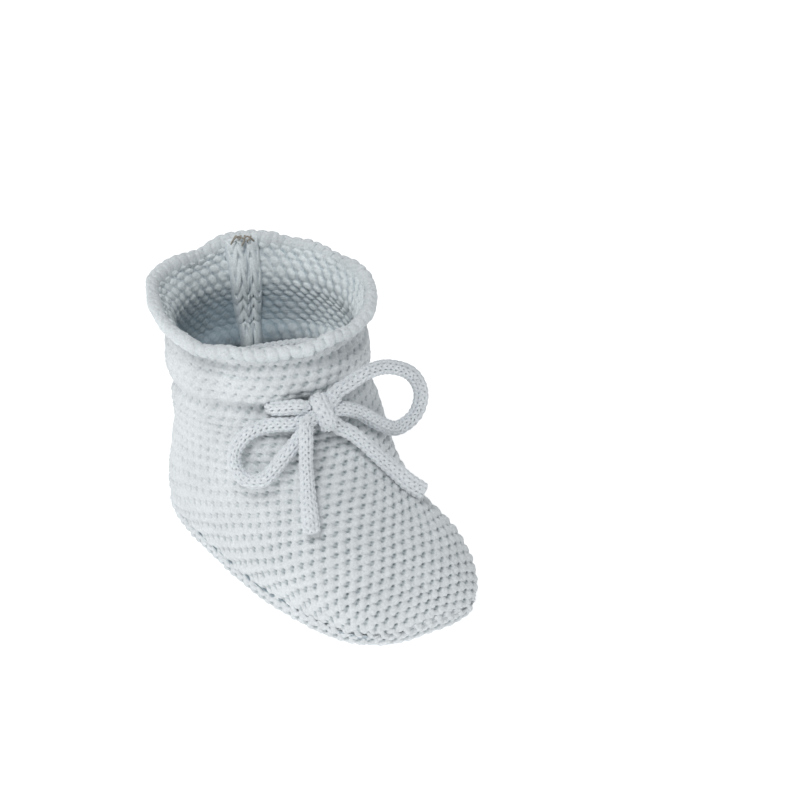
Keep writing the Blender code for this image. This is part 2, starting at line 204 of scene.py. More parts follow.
def grid_quads(rows, columns, closed=False, start=0):
    """Quads between neighbouring rows and columns of a grid, closed round its columns if asked."""
    i, j = np.meshgrid(np.arange(rows - 1), np.arange(columns if closed else columns - 1), indexing="ij")
    n = (j + 1) % columns
    quads = np.stack([i * columns + j, i * columns + n, (i + 1) * columns + n, (i + 1) * columns + j], -1)
    return quads.reshape(-1, 4) + start


def grid_object(name, grids, mat, closed=False):
    """One object from several (points, shade, flip) grids."""
    points, quads, shades = [], [], []
    start = 0
    for grid, shade, flip in grids:
        rows, columns = grid.shape[:2]
        q = grid_quads(rows, columns, closed, start)
        quads.append(q[:, ::-1] if flip else q)
        points.append(grid.reshape(-1, 3))
        shades.append(np.broadcast_to(shade, (rows, columns)).ravel())
        start += rows * columns
    return make_object(name, np.vstack(points), np.vstack(quads), np.concatenate(shades), mat)


def grid_normals(grid, closed=False):
    """Normals of a grid of points: along columns cross along rows."""
    if closed:
        du = (np.roll(grid, -1, 1) - np.roll(grid, 1, 1)) / 2
    else:
        du = np.gradient(grid, axis=1)
    dv = np.gradient(grid, axis=0)
    return unit(np.cross(du, dv))


# ---------------------------------------------------------------- yarn

YARN_FLOOR = -1.3
# 0.5 would give a yarn a half-round crown, and a larger power makes it more pointed
YARN_CROWN = 0.62
# A tile is drawn with its neighbours, so that it joins up with itself on all sides
REPEATS = [(i, j) for i in range(-2, 3) for j in range(-2, 3)]


def tile_places(width, height, count):
    """X and y of the middles of a tile's count by count cells."""
    x = (np.arange(count) + 0.5) / count * width
    y = (np.arange(count) + 0.5) / count * height
    return np.meshgrid(x, y)


def softened(tile, passes):
    """A height map blurred into its neighbours, carrying on past its edges."""
    for _ in range(passes):
        tile = (2 * tile + np.roll(tile, 1, 0) + np.roll(tile, -1, 0)) / 4
        tile = (2 * tile + np.roll(tile, 1, 1) + np.roll(tile, -1, 1)) / 4
    return tile


def knit_tile(yarns, width, height):
    """Height map of one repeat of a knit. Each yarn is (points along its middle in mm, its radius)."""
    x, y = tile_places(width, height, 64)
    out = np.full(x.shape, YARN_FLOOR)
    for line, radius in yarns:
        for px, py, pz in line:
            for i, j in REPEATS:
                dx = x - px - i * width
                dy = y - py - j * height
                inside = np.maximum(1 - (dx * dx + dy * dy) / radius ** 2, 0)
                crown = np.maximum(out, pz + radius * inside ** YARN_CROWN)
                out = np.where(inside > 0, crown, out)
    return softened(out, 1)


def read_tile(tile, u, v):
    """Height at stitch and row coordinates, one repeat per unit."""
    rows, columns = tile.shape
    x = (u % 1.0) * columns - 0.5
    y = (v % 1.0) * rows - 0.5
    x0 = np.floor(x).astype(int)
    y0 = np.floor(y).astype(int)
    fx = x - x0
    fy = y - y0
    a = tile[y0 % rows, x0 % columns] * (1 - fx) + tile[y0 % rows, (x0 + 1) % columns] * fx
    b = tile[(y0 + 1) % rows, x0 % columns] * (1 - fx) + tile[(y0 + 1) % rows, (x0 + 1) % columns] * fx
    return a * (1 - fy) + b * fy


STITCH = 3.75
RIDGE = 2.85


def oval_tile(ovals, slits, width, height, floor):
    """Height map of two rows of garter stitch: raised ovals, with narrow slits sunk between them.

    An oval or slit is its middle x and y, its lean in degrees, its half length and half width, and then
    an oval's height or a slit's depth.
    """
    x, y = tile_places(width, height, 96)
    out = np.full(x.shape, floor)

    def reach(shape, i, j):
        middle_x, middle_y, lean, half_length, half_width, _ = shape
        dx = x - middle_x - i * width
        dy = y - middle_y - j * height
        c = cos(radians(lean))
        s = sin(radians(lean))
        return (dx * c + dy * s) / half_length, (dy * c - dx * s) / half_width

    for oval in ovals:
        for i, j in REPEATS:
            along, across = reach(oval, i, j)
            inside = np.clip(1 - np.abs(along) ** 2.2 - np.abs(across) ** 2.2, 0, 1)
            out = np.maximum(out, floor + (oval[5] - floor) * inside ** 0.5)
    for slit in slits:
        for i, j in REPEATS:
            along, across = reach(slit, i, j)
            out = out - slit[5] * np.exp(-(along ** 2 + across ** 2))
    return softened(out, 2)


def stocking_yarns(width, height, radius):
    """A stitch of stocking stitch: two legs of a V."""
    yarns = []
    for side in (-1, 1):
        leg = []
        for s in np.linspace(0, 1, 25):
            x = width * (0.5 + side * (0.03 + 0.42 * s))
            y = height * (-0.05 + 1.12 * s)
            z = radius * (0.75 * sin(pi * s) - 0.35)
            leg.append((x, y, z))
        yarns.append((leg, radius))
    return yarns


def two_rows(shapes, shift):
    """The same ovals or slits in two rows of stitches, the second row moved sideways."""
    return shapes + [(x + shift, y + RIDGE, *rest) for x, y, *rest in shapes]


# Outside, the upper and lower bumps of a stitch run together in one leaning S, with a slit beside it, and
# every other row is half a stitch to the side
GARTER = oval_tile(
    ovals=two_rows([(1.05, 1.70, 46, 1.60, 1.15, 0.40), (2.90, 1.15, -4, 1.30, 0.98, 0.12)], STITCH / 2),
    slits=two_rows([(2.20, 0.42, 25, 0.42, 0.26, 0.95), (3.00, 2.45, 20, 0.40, 0.22, 0.45)], STITCH / 2),
    width=STITCH, height=2 * RIDGE, floor=-0.40,
)
# Inside, the upper and lower bumps stay apart, and the rows stand straight above each other
INNER_GARTER = oval_tile(
    ovals=two_rows([(0.95, 2.1, 12, 1.55, 0.72, 0.35), (2.8, 0.7, 12, 1.5, 0.70, 0.22)], 0.0),
    slits=two_rows([(1.9, 1.6, 75, 0.5, 0.25, 0.35), (0.0, 0.3, 75, 0.5, 0.25, 0.25)], 0.0),
    width=STITCH, height=2 * RIDGE, floor=-0.45,
)

noise_rng = np.random.default_rng(11)
WAVES = [(noise_rng.normal(0, 1, 2), noise_rng.uniform(0, 2 * pi)) for _ in range(14)]
SIZE_COLUMNS = 97
SIZE_ROWS = 89
STITCH_SIZES = noise_rng.uniform(-1, 1, (SIZE_COLUMNS, SIZE_ROWS))


def waver(x, y, first=0, count=5):
    """Smooth unevenness, about -1 to 1."""
    total = 0
    for k, phase in WAVES[first:first + count]:
        total = total + np.sin(k[0] * x + k[1] * y + phase)
    return total / count ** 0.5 / 1.4


def stitch_size(u, v):
    """Random size of the stitch at stitch and row coordinates, -1 to 1."""
    return STITCH_SIZES[np.floor(u).astype(int) % SIZE_COLUMNS, np.floor(v).astype(int) % SIZE_ROWS]


def garter(u, v, tile=GARTER, uneven=1.0):
    """Height of hand-tensioned garter stitch, in mm, and its 0 to 1 painted shade, darker where the yarn
    sinks between stitches. A tile holds two rows.
    """
    u = u + 0.09 * uneven * waver(u * 0.9, v * 1.1, 0)
    v = v + 0.09 * uneven * waver(u * 0.8, v * 0.9, 5)
    h = read_tile(tile, u, v / 2)
    size = uneven * stitch_size(u, v)
    h = h * (1 + 0.28 * size) + 0.06 * size
    return h, smoothstep(-0.95, 0.18, h)


def fluff(points, size=0.08):
    """Fine unevenness of spun yarn at points in mm, in mm."""
    x, y, z = np.moveaxis(points, -1, 0)
    total = np.sin(5.1 * x + 3.3 * y + 1.7 * z) + np.sin(-2.9 * x + 6.1 * y + 4.3 * z + 1.0)
    total = total + np.sin(7.3 * x - 4.7 * y + 3.9 * z + 2.0) + np.sin(3.7 * x + 2.3 * y - 7.9 * z + 3.0)
    return size * total / 2


# ---------------------------------------------------------------- the upper's shape

# From the rim (0) to the toe (1): front or top point (y, z), back or bottom point (y, z), half width,
# roundness above and below, middle x
SHAPE = np.array([
    (0.00, -8.5, 82.5, 56.5, 85.5, 34.0, 2.0, 2.0, 0.0),
    (0.05, -7.0, 79.0, 54.5, 81.0, 31.8, 2.0, 2.0, 0.0),
    (0.11, -7.0, 75.0, 52.0, 74.5, 30.0, 2.0, 2.0, 0.1),
    (0.19, -9.5, 70.5, 51.5, 67.0, 30.4, 2.0, 2.0, 0.3),
    (0.27, -10.0, 66.0, 51.0, 60.0, 30.4, 2.0, 2.0, 0.6),
    (0.35, -8.5, 61.5, 49.5, 52.5, 29.4, 2.0, 2.0, 0.9),
    (0.44, -15.5, 55.5, 50.5, 42.0, 29.9, 2.0, 2.0, 1.3),
    (0.52, -22.0, 50.0, 54.5, 28.5, 29.9, 2.0, 2.1, 1.5),
    (0.60, -28.0, 45.5, 56.5, 12.0, 29.4, 2.0, 2.4, 1.6),
    (0.66, -33.0, 42.0, 50.5, 2.0, 29.0, 2.1, 2.6, 1.8),
    (0.74, -39.0, 37.0, 26.5, 0.5, 29.0, 2.1, 2.8, 2.0),
    (0.82, -44.5, 32.5, 1.0, 0.5, 29.2, 2.2, 3.0, 2.8),
    (0.88, -49.0, 27.5, -21.0, 0.5, 27.3, 2.3, 3.0, 4.3),
    (0.94, -53.5, 20.0, -40.5, 0.5, 23.2, 2.3, 2.8, 6.0),
    (0.98, -56.0, 11.5, -52.0, 2.0, 15.8, 2.3, 2.5, 8.2),
    (1.00, -57.0, 6.6, -56.6, 5.0, 8.8, 2.0, 2.0, 9.2),
])
WAIST = 0.35
HEEL_END = 0.66
TOE_END = 0.9925
SEAM_Z = 8.0
FABRIC = 2.5
# The back seam is turned to one side at the ankle, and drifts back to the middle between these places
SEAM_TURN = radians(20.0)
TURN_FROM = 0.38
TURN_TO = 0.64


def section(t):
    """The columns of SHAPE at a place between rim and toe."""
    return np.array([smooth_curve(SHAPE[:, 0], SHAPE[:, k], t) for k in range(1, 9)])


def surface(t, angle):
    """Outside of the upper. Angle 0 is the front or top, and pi the back or bottom, by way of +X."""
    front_y, front_z, back_y, back_z, half, above, below, middle = section(t)
    c = np.cos(angle)
    s = np.sin(angle)
    power = np.where(c > 0, above, below)
    x = middle + half * np.sign(s) * np.abs(s) ** (2 / power)
    along = (1 - np.sign(c) * np.abs(c) ** (2 / power)) / 2
    y = front_y + (back_y - front_y) * along
    z = front_z + (back_z - front_z) * along
    return np.stack([x, y, z], -1)


def seam_turn(t):
    """How far the back seam is turned from the middle of the heel."""
    return SEAM_TURN * np.clip((TURN_TO - t) / (TURN_TO - TURN_FROM), 0, 1)


def side_ends(t):
    """Angles where a row of stitches starts and ends: at the back seam, or at the sole."""
    row = section(np.array([t]))[:, 0]
    if row[3] >= SEAM_Z:
        turn = float(seam_turn(t))
        return -(pi + turn), pi - turn
    q = min(1 - 2 * (SEAM_Z - row[1]) / (row[3] - row[1]), 1.0)
    power = row[5] if q > 0 else row[6]
    end = float(np.arccos(np.sign(q) * abs(q) ** (power / 2)))
    return -end, end


fine_t = np.linspace(0, 1, 4001)
front_length = lengths_along(surface(fine_t, np.zeros_like(fine_t)))
FRONT_TOTAL = front_length[-1]


def length_at(t):
    """Distance along the front line from the rim, in mm."""
    return np.interp(t, fine_t, front_length)


def place_at(length):
    """Place between rim and toe at a distance along the front line."""
    return np.interp(length, front_length, fine_t)


def even_places(start, end, count):
    return place_at(np.linspace(length_at(start), length_at(end), count))


def girth_of(t):
    around = np.linspace(-pi, pi, 721)
    p = surface(np.full_like(around, t), around)
    return np.linalg.norm(np.diff(p, axis=0), axis=1).sum()


def stitch_width(t):
    """Width of a stitch: the cuff keeps its number of stitches, and the foot's are widest at the heel."""
    if t < WAIST:
        return STITCH * girth_of(t) / girth_of(WAIST)
    return float(smooth_curve([WAIST, 0.5, 0.6, 0.7, 0.8, 1.0], [STITCH, 3.95, 4.0, 3.85, 3.72, 3.6], t))


def upper_columns(places, count):
    """Angles of the columns in each row, and their stitch coordinate from the front line.

    A column keeps its place among the stitches from row to row. Past the end of a short row it stays at
    the end.
    """
    rows = []
    for t in places:
        low, high = side_ends(t)
        dense = np.linspace(low, high, 1601)
        length = lengths_along(surface(np.full_like(dense, t), dense))
        length -= np.interp(0.0, dense, length)
        rows.append((dense, length / stitch_width(t)))
    columns = np.linspace(min(u[0] for _, u in rows), max(u[-1] for _, u in rows), count)
    stitches = np.array([np.clip(columns, u[0], u[-1]) for _, u in rows])
    angles = np.array([np.interp(at, u, dense) for at, (dense, u) in zip(stitches, rows)])
    return angles, stitches


GROOVE = 0.325
RIM_FADE = 9.0


def soft_offset(t, angle):
    """How far the soft fabric stands out from its plain shape, in mm: gathers, bulges and dents."""
    near_front = bump(wrapped(angle), -0.05, 0.62)
    depth = length_at(t) - length_at(GROOVE)
    groove = -1.5 * bump(depth, 0.0, 2.0) - 2.0 * near_front * bump(depth, -0.4, 2.2)
    gathers = np.sin(9 * angle + 0.6) + 0.8 * np.sin(15 * angle + 2.1) + 0.6 * np.sin(22 * angle + 4.0)
    gathers = 0.34 * gathers * bump(depth, 1.0, 7.0)
    bulge = 0.9 * near_front * bump(depth, -5.5, 3.2)
    drape = 0.45 * waver(np.sin(angle) * 2.2 + t * 9, np.cos(angle) * 2.2, 9, 5)
    drape = drape * smoothstep(0.9, 0.6, t)
    rim = 0.55 * np.sin(5 * angle + 1.0) + 0.4 * np.sin(8 * angle + 2.5)
    rim = rim * smoothstep(RIM_FADE, 0.0, length_at(t))
    neck = -1.0 * bump(length_at(t), 7.5, 3.6)
    tuck = -0.6 * smoothstep(0.86, 0.97, t) * smoothstep(0.1, -0.6, np.cos(angle))
    return groove + gathers + bulge + drape + rim + neck + tuck


def rim_lift(t, angle):
    """Up and down of the rim, in mm."""
    lift = 0.6 * np.sin(3 * angle + 0.5) + 0.5 * np.sin(7 * angle + 1.2) + 0.3 * np.sin(13 * angle)
    lift = lift + 0.8 * bump(wrapped(angle - (pi - SEAM_TURN)), 0.0, 0.22)
    lift = lift - 1.2 * bump(angle, -1.35, 0.6) - 0.8 * bump(angle, 1.2, 0.6) - 0.6
    return lift * smoothstep(RIM_FADE, 0.0, length_at(t))


def soft_surface(places, angles):
    """Smooth soft shape of the upper and its outward normals, before the stitches."""
    t = np.broadcast_to(places[:, None], angles.shape)
    base = surface(t, angles)
    middle = (surface(t, np.zeros_like(angles)) + surface(t, np.full_like(angles, pi))) / 2
    normal = grid_normals(base)
    outward = np.sign((normal * (base - middle)).sum(-1, keepdims=True).mean())
    base = base + normal * outward * soft_offset(t, angles)[..., None]
    base[..., 2] += rim_lift(t, angles)
    normal = grid_normals(base)
    outward = np.sign((normal * (base - middle)).sum(-1, keepdims=True).mean())
    return base, normal * outward


def row_spacing(base, rows_v):
    """Distance between neighbouring ridges at each point, in mm."""
    step = np.gradient(base, axis=0)
    along = unit(np.gradient(base, axis=1))
    gap = np.linalg.norm(step - (step * along).sum(-1, keepdims=True) * along, axis=-1)
    per = np.abs(np.gradient(rows_v))[:, None]
    return gap / np.maximum(per, 1e-6)


def upper_knit(places, count, inside=False):
    """Grid of stitched fabric over part of the upper, and its shade.

    One more row at each end, cut off again, lets neighbouring parts meet smoothly.
    """
    before = max(places[0] - (places[1] - places[0]), 0.0)
    after = min(places[-1] + (places[-1] - places[-2]), 1.0)
    wide = np.concatenate([[before], places, [after]])
    grid, shade = upper_rows(wide, count, inside)
    return grid[1:-1], shade[1:-1]


def upper_rows(places, count, inside):
    angles, u = upper_columns(places, count)
    base, normal = soft_surface(places, angles)
    v_rows = (FRONT_TOTAL - length_at(places)) / RIDGE
    v = np.broadcast_to(v_rows[:, None], u.shape)
    tile = INNER_GARTER if inside else GARTER
    h, shade = garter(u, v, tile)
    # Where the ridges would fan out too far, one more is worked between each two
    double = smoothstep(5.0, 5.8, row_spacing(base, v_rows))
    if double.max() > 0:
        h2, shade2 = garter(u, 2 * v, tile)
        h = h * (1 - double) + h2 * double
        shade = shade * (1 - double) + shade2 * double
    # The two edges of a full row are drawn in where the back seam joins them
    t = places[:, None]
    edge = np.minimum(u - u[:, :1], u[:, -1:] - u) * STITCH
    full = section(t)[3] >= SEAM_Z
    seam = np.where(full, bump(edge, 0.0, 0.9), 0.0)
    if inside:
        h = h * (1 - seam) * smoothstep(0.0, 3.0, length_at(t))
        # Deeper inside, the stitches flatten and painted shade darkens the lining; the inner wall on the +X
        # side, which faces the light, is darkened less, as painted light
        depth = smoothstep(4.0, 14.0, length_at(t)) * (1 - 0.75 * bump(angles, 1.7, 0.65))
        h = h * (1.0 - 0.65 * depth)
        shade = (0.15 + 0.85 * shade) * (1 - depth) + (0.04 + 0.16 * shade) * depth
        return base - normal * (FABRIC - 0.3 + h + fluff(base))[..., None], shade
    # The stitches stand out more toward the toe and less on the sides
    relief = smooth_curve([0.0, 0.3, 0.42, 0.55, 0.75, 1.0], [0.80, 0.80, 0.90, 1.0, 1.05, 1.05], t)
    sideways = np.abs(np.sin(angles)) ** 2 * smoothstep(0.80, 0.62, t)
    relief = relief * (1 - 0.36 * sideways)
    # Lower down, the edges of a row are sewn to the sole
    lower = np.where(full, 0.0, bump(edge, 0.0, 0.8))
    lower = lower * (0.25 + 0.75 * smoothstep(0.80, 0.93, t))
    h = h * relief - seam - 0.7 * lower
    # Painted shade between the stitches fades with the relief, and more painted shade darkens the drawn-in
    # seam and the edges sewn to the sole
    shade = 1 - (1 - shade) * relief
    shade = shade * (1 - 0.6 * seam) * (1 - 0.35 * lower)
    return base + normal * (h - 0.10 + fluff(base))[..., None], shade


# ---------------------------------------------------------------- materials


class NodeMaker:
    """Adds shader nodes to one material, each already linked to what it reads."""

    def __init__(self, mat):
        self.nodes = mat.node_tree.nodes
        self.links = mat.node_tree.links
        self.where = self.nodes.new("ShaderNodeTexCoord")

    def noise(self, scale, detail):
        node = self.nodes.new("ShaderNodeTexNoise")
        node.inputs["Scale"].default_value = scale
        node.inputs["Detail"].default_value = detail
        self.links.new(self.where.outputs["Object"], node.inputs["Vector"])
        return node

    def spread(self, noise, low, high):
        """The middle of a noise's range, drawn out to run from low to high."""
        node = self.nodes.new("ShaderNodeMapRange")
        node.inputs["From Min"].default_value = 0.3
        node.inputs["From Max"].default_value = 0.7
        node.inputs["To Min"].default_value = low
        node.inputs["To Max"].default_value = high
        self.links.new(noise.outputs["Fac"], node.inputs["Value"])
        return node

    def relief(self, noise, strength, distance):
        node = self.nodes.new("ShaderNodeBump")
        node.inputs["Strength"].default_value = strength
        node.inputs["Distance"].default_value = distance
        self.links.new(noise.outputs["Fac"], node.inputs["Height"])
        return node


def yarn_material(name, pale, deep, mottle=0.05):
    """Matte cotton yarn with a fibrous surface: pale on its crowns, and a painted shade colour between the
    stitches where the shade attribute is low.
    """
    mat = bpy.data.materials.new(name)
    mat.use_nodes = True
    make = NodeMaker(mat)
    nodes = make.nodes
    links = make.links
    shader = nodes["Principled BSDF"]
    shader.inputs["Roughness"].default_value = 0.92
    shader.inputs["Specular IOR Level"].default_value = 0.22
    shader.inputs["Sheen Weight"].default_value = 0.35
    shader.inputs["Sheen Roughness"].default_value = 0.45
    shader.inputs["Sheen Tint"].default_value = (0.93, 0.97, 1.0, 1.0)
    shade = nodes.new("ShaderNodeAttribute")
    shade.attribute_name = "shade"
    ramp = nodes.new("ShaderNodeValToRGB")
    ramp.color_ramp.elements[0].position = 0.0
    ramp.color_ramp.elements[0].color = (*deep, 1.0)
    ramp.color_ramp.elements[1].position = 0.75
    ramp.color_ramp.elements[1].color = (*pale, 1.0)
    links.new(shade.outputs["Fac"], ramp.inputs["Fac"])
    patches = make.noise(60.0, 3.0)
    flecks = make.noise(1500.0, 4.0)
    flecks.inputs["Roughness"].default_value = 0.65
    blotch = make.spread(patches, 1.0 - mottle, 1.0 + mottle)
    speck = make.spread(flecks, 0.84, 1.12)
    both = nodes.new("ShaderNodeMath")
    both.operation = "MULTIPLY"
    links.new(blotch.outputs["Result"], both.inputs[0])
    links.new(speck.outputs["Result"], both.inputs[1])
    tint = nodes.new("ShaderNodeVectorMath")
    tint.operation = "SCALE"
    links.new(ramp.outputs["Color"], tint.inputs[0])
    links.new(both.outputs["Value"], tint.inputs["Scale"])
    links.new(tint.outputs["Vector"], shader.inputs["Base Color"])
    fuzz = make.relief(flecks, 0.5, 0.00025)
    grain = make.relief(make.noise(2600.0, 2.0), 0.35, 0.0001)
    links.new(fuzz.outputs["Normal"], grain.inputs["Normal"])
    links.new(grain.outputs["Normal"], shader.inputs["Normal"])
    return mat


# The second colour of each yarn is painted shade, given where the shade attribute is low: between the
# stitches and deep inside
PALE = (0.745, 0.775, 0.787)
DEEP = (0.315, 0.365, 0.390)
foot_yarn = yarn_material("foot_knit", PALE, DEEP)
cuff_yarn = yarn_material("cuff_knit", PALE, DEEP)
inner_yarn = yarn_material("inner_knit", (0.80, 0.85, 0.865), (0.25, 0.335, 0.39))
edge_yarn = yarn_material("edge_knit", (0.72, 0.76, 0.775), DEEP)
sole_yarn = yarn_material("sole_knit", (0.745, 0.775, 0.79), DEEP)
overcast_yarn = yarn_material("seam_yarn", (0.745, 0.775, 0.79), DEEP)
bar_yarn = yarn_material("seam_knit", (0.80, 0.85, 0.87), (0.38, 0.46, 0.50))
cord_yarn = yarn_material("cord_knit", (0.750, 0.785, 0.812), (0.33, 0.375, 0.410))
thread_yarn = yarn_material("thread", (0.40, 0.36, 0.31), (0.20, 0.17, 0.15), mottle=0.25)

# ---------------------------------------------------------------- cords and bow

CORD_RADIUS = 2.2
CORD_ROW = 2.0
CORD_STITCHES = 6
CORD_WIDTH = 2 * pi * CORD_RADIUS / CORD_STITCHES
CORD_STEP = 0.24
CORD_TIP = 1.3
STOCKING = knit_tile(stocking_yarns(CORD_WIDTH, CORD_ROW, 0.50), CORD_WIDTH, CORD_ROW)
TO_CAMERA = np.array(BACK)

KNOT = np.array((-5.0, -16.5, 64.5))
LOOP_LEFT = [(-12.5, -13.2, 60.7), (-14.8, -11.3, 60.3), (-19.0, -7.5, 59.1), (-23.6, -4.9, 56.4),
             (-26.9, -4.0, 51.6), (-27.6, -5.6, 46.8), (-26.3, -9.5, 44.3), (-23.3, -13.7, 45.6),
             (-20.1, -15.2, 49.3), (-17.2, -16.2, 53.3), (-15.4, -16.6, 55.2)]
LOOP_RIGHT = [(1.6, -15.2, 68.3), (4.9, -15.2, 69.3), (11.5, -15.2, 71.4), (19.2, -15.0, 70.8),
              (26.6, -16.0, 66.8), (30.1, -16.6, 59.7), (28.6, -16.2, 52.4), (22.2, -16.3, 49.7),
              (15.3, -17.1, 53.7), (8.7, -16.6, 59.2), (3.1, -16.8, 62.5)]
END_LEFT = [(-12.2, -19.5, 63.4), (-13.6, -21.4, 60.2), (-13.8, -21.7, 55.9), (-14.3, -22.6, 51.3),
            (-14.8, -24.0, 46.6), (-16.1, -26.5, 42.6), (-17.7, -29.9, 38.8), (-19.0, -32.8, 35.3)]
END_RIGHT = [(-0.4, -19.0, 58.4), (2.2, -20.4, 56.8), (5.3, -23.0, 53.7), (8.6, -26.5, 49.5),
             (11.8, -29.6, 45.6), (15.2, -32.4, 41.4), (19.4, -34.7, 37.7)]


def smooth_route(points, step):
    """Points a set distance apart on a smooth curve through a cord's route points, in mm."""
    route = np.array(points, float)
    route = np.vstack([2 * route[0] - route[1], route, 2 * route[-1] - route[-2]])
    dense = []
    for i in range(1, len(route) - 2):
        p0, p1, p2, p3 = route[i - 1:i + 3]
        for u in np.linspace(0, 1, 24, endpoint=False):
            bend = (2 * p0 - 5 * p1 + 4 * p2 - p3) * u * u + (3 * p1 - p0 - 3 * p2 + p3) * u ** 3
            dense.append(p1 + 0.5 * ((p2 - p0) * u + bend))
    dense.append(route[-2])
    dense = np.array(dense)
    length = lengths_along(dense)
    at = np.linspace(0, length[-1], max(3, int(round(length[-1] / step)) + 1))
    return np.array([[np.interp(a, length, dense[:, k]) for k in range(3)] for a in at])


def frames_along(path, hint):
    """Directions across a path: one close to the hint and one at right angles to it."""
    forward = unit(np.gradient(path, axis=0))
    near = hint - (forward * hint).sum(-1, keepdims=True) * forward
    near = unit(near)
    return np.cross(forward, near), near


def knit_cord(path, hint, widen=1.0, thin=1.0, around=60, blunt_end=False):
    """Knitted tube along a path: rings of points and their shade. Widen and thin flatten it."""
    count = len(path)
    length = lengths_along(path)
    side, near = frames_along(path, hint)
    angle = np.linspace(0, 2 * pi, around, endpoint=False)
    u = np.broadcast_to(angle / (2 * pi) * CORD_STITCHES, (count, around))
    v = np.broadcast_to((length / CORD_ROW)[:, None], (count, around))
    u = u + 0.06 * waver(u * 1.3, v * 0.8, 3)
    h = np.maximum(read_tile(STOCKING, u, v), -0.45) - 0.55
    h = h + 0.06 * waver(u * 2, v * 0.7, 6)
    # A narrow groove runs between two columns of stitches
    h = h - 0.22 * bump((u + 0.5) % 1.0, 0.5, 0.10)
    radius = CORD_RADIUS + 0.9 * h
    if blunt_end:
        from_tip = np.clip((length[-1] - length) / CORD_TIP, 0, 1)
        radius = radius * np.maximum(np.sqrt(1 - (1 - from_tip) ** 2), 0.02)[:, None]
    widen = np.broadcast_to(widen, (count,))[:, None]
    thin = np.broadcast_to(thin, (count,))[:, None]
    across = (np.cos(angle)[None] * radius * widen)[..., None] * side[:, None]
    deep = (np.sin(angle)[None] * radius * thin)[..., None] * near[:, None]
    # Painted shade in the hollows of the stitches and the groove between columns
    shade = smoothstep(-1.05, -0.10, h)
    rings = path[:, None] + across + deep
    return rings + fluff(rings, 0.035)[..., None] * unit(across + deep), shade


def cord_object(name, parts):
    """One object of closed tubes: each part's rings, and two end caps drawn to their middles."""
    grids = []
    for rings, shade in parts:
        first, last = (ring.mean(0) + (ring - ring.mean(0)) * 0.02 for ring in (rings[0], rings[-1]))
        capped = np.concatenate([first[None], rings, last[None]])
        grids.append((capped, np.concatenate([shade[:1], shade, shade[-1:]]), False))
    return grid_object(name, grids, cord_yarn, closed=True)


def free_cord(name, route, body, node, lead_in, lead_out=None, flatten=None):
    """One free strand of the drawstring, knitted along its route, from inside the knot.

    Flatten is its first width, the width it gains toward its end, and where that starts and stops.
    """
    points = [lead_in] + route + ([lead_out] if lead_out is not None else [])
    path = smooth_route(points, CORD_STEP)
    widen = thin = 1.0
    if flatten:
        first_width, gain, start, stop = flatten
        flattened = smoothstep(start, stop, np.linspace(0, 1, len(path)))
        widen = first_width + gain * flattened
        thin = 1.0 - 0.15 * flattened
    obj = cord_object(name, [knit_cord(path, TO_CAMERA, widen, thin, blunt_end=lead_out is None)])
    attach(obj, body)
    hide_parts(node)


def toward_knot(point, share):
    """A point on the way from a strand's first point into the knot."""
    return tuple(np.array(point) * (1 - share) + KNOT * share)


free_cord("left_loop_cord", LOOP_LEFT, "loop_left", "bow_loop_left",
          toward_knot(LOOP_LEFT[0], 0.55), toward_knot(LOOP_LEFT[-1], 0.6))
free_cord("right_loop_cord", LOOP_RIGHT, "loop_right", "bow_loop_right",
          toward_knot(LOOP_RIGHT[0], 0.6), toward_knot(LOOP_RIGHT[-1], 0.6))
free_cord("left_end_cord", END_LEFT, "end_left", "cord_end_left",
          toward_knot(END_LEFT[0], 0.6), flatten=(0.95, 0.27, 0.45, 0.95))
free_cord("right_end_cord", END_RIGHT, "end_right", "cord_end_right",
          toward_knot(END_RIGHT[0], 0.6), flatten=(1.0, 0.22, 0.3, 0.9))

# Knot: a short length of the cord wrapped round the strands, from the upper left to the lower right
wrap_along = np.array(0.52 * RIGHT - 0.85 * UP)
wrap_across = np.array(0.85 * RIGHT + 0.52 * UP)
wrap = []
for a in np.radians(np.linspace(-75, 255, 23)):
    slip = wrap_across * (1.1 * sin(a * 0.5 - 0.6))
    wrap.append(KNOT + wrap_along * (0.7 + 4.1 * cos(a)) + TO_CAMERA * (4.0 * sin(a) - 0.5) + slip)
wrap_path = smooth_route(wrap, CORD_STEP)
knot_wrap = knit_cord(wrap_path, unit(wrap_path - KNOT), widen=1.22, thin=0.80)
core = [toward_knot(LOOP_LEFT[0], 0.2), KNOT - TO_CAMERA * 0.6, toward_knot(LOOP_RIGHT[0], 0.2)]
knot_core = knit_cord(smooth_route(core, CORD_STEP), TO_CAMERA, widen=1.15, thin=1.1)
knot = cord_object("knot_wrap", [knot_wrap, knot_core])
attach(knot, "foot")
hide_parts("bow_knot")

# Drawstring: from the knot through the left eyelet, round the inside of the ankle, out of the right one
ANKLE = np.array((0.0, 20.5, 60.0))
ANKLE_TILT = radians(10.0)
COLLAR_RADIUS = 27.4
COLLAR_WALL = 2.4
STRING_RADIUS = 2.15
STRING_GAP = 0.5
SEAM_BAR_ROOM = 5.0
TILT_FRONT = np.array((0.0, -cos(ANKLE_TILT), sin(ANKLE_TILT)))
TILT_UP = np.array((0.0, sin(ANKLE_TILT), cos(ANKLE_TILT)))


def collar_point(radius, height, angle):
    """Point round the drawn-in ankle: angle 0 is the front, and +X comes next."""
    side = np.array((1.0, 0.0, 0.0))
    return ANKLE + TILT_UP * height + TILT_FRONT * radius * cos(angle) + side * radius * sin(angle)


def eyelet(x):
    """Middle of an eyelet on the outside of the ankle's front, at its distance from the middle plane."""
    reach = (COLLAR_RADIUS ** 2 - x ** 2) ** 0.5
    return ANKLE + TILT_UP * -1.0 + np.array((x, 0.0, 0.0)) + TILT_FRONT * reach


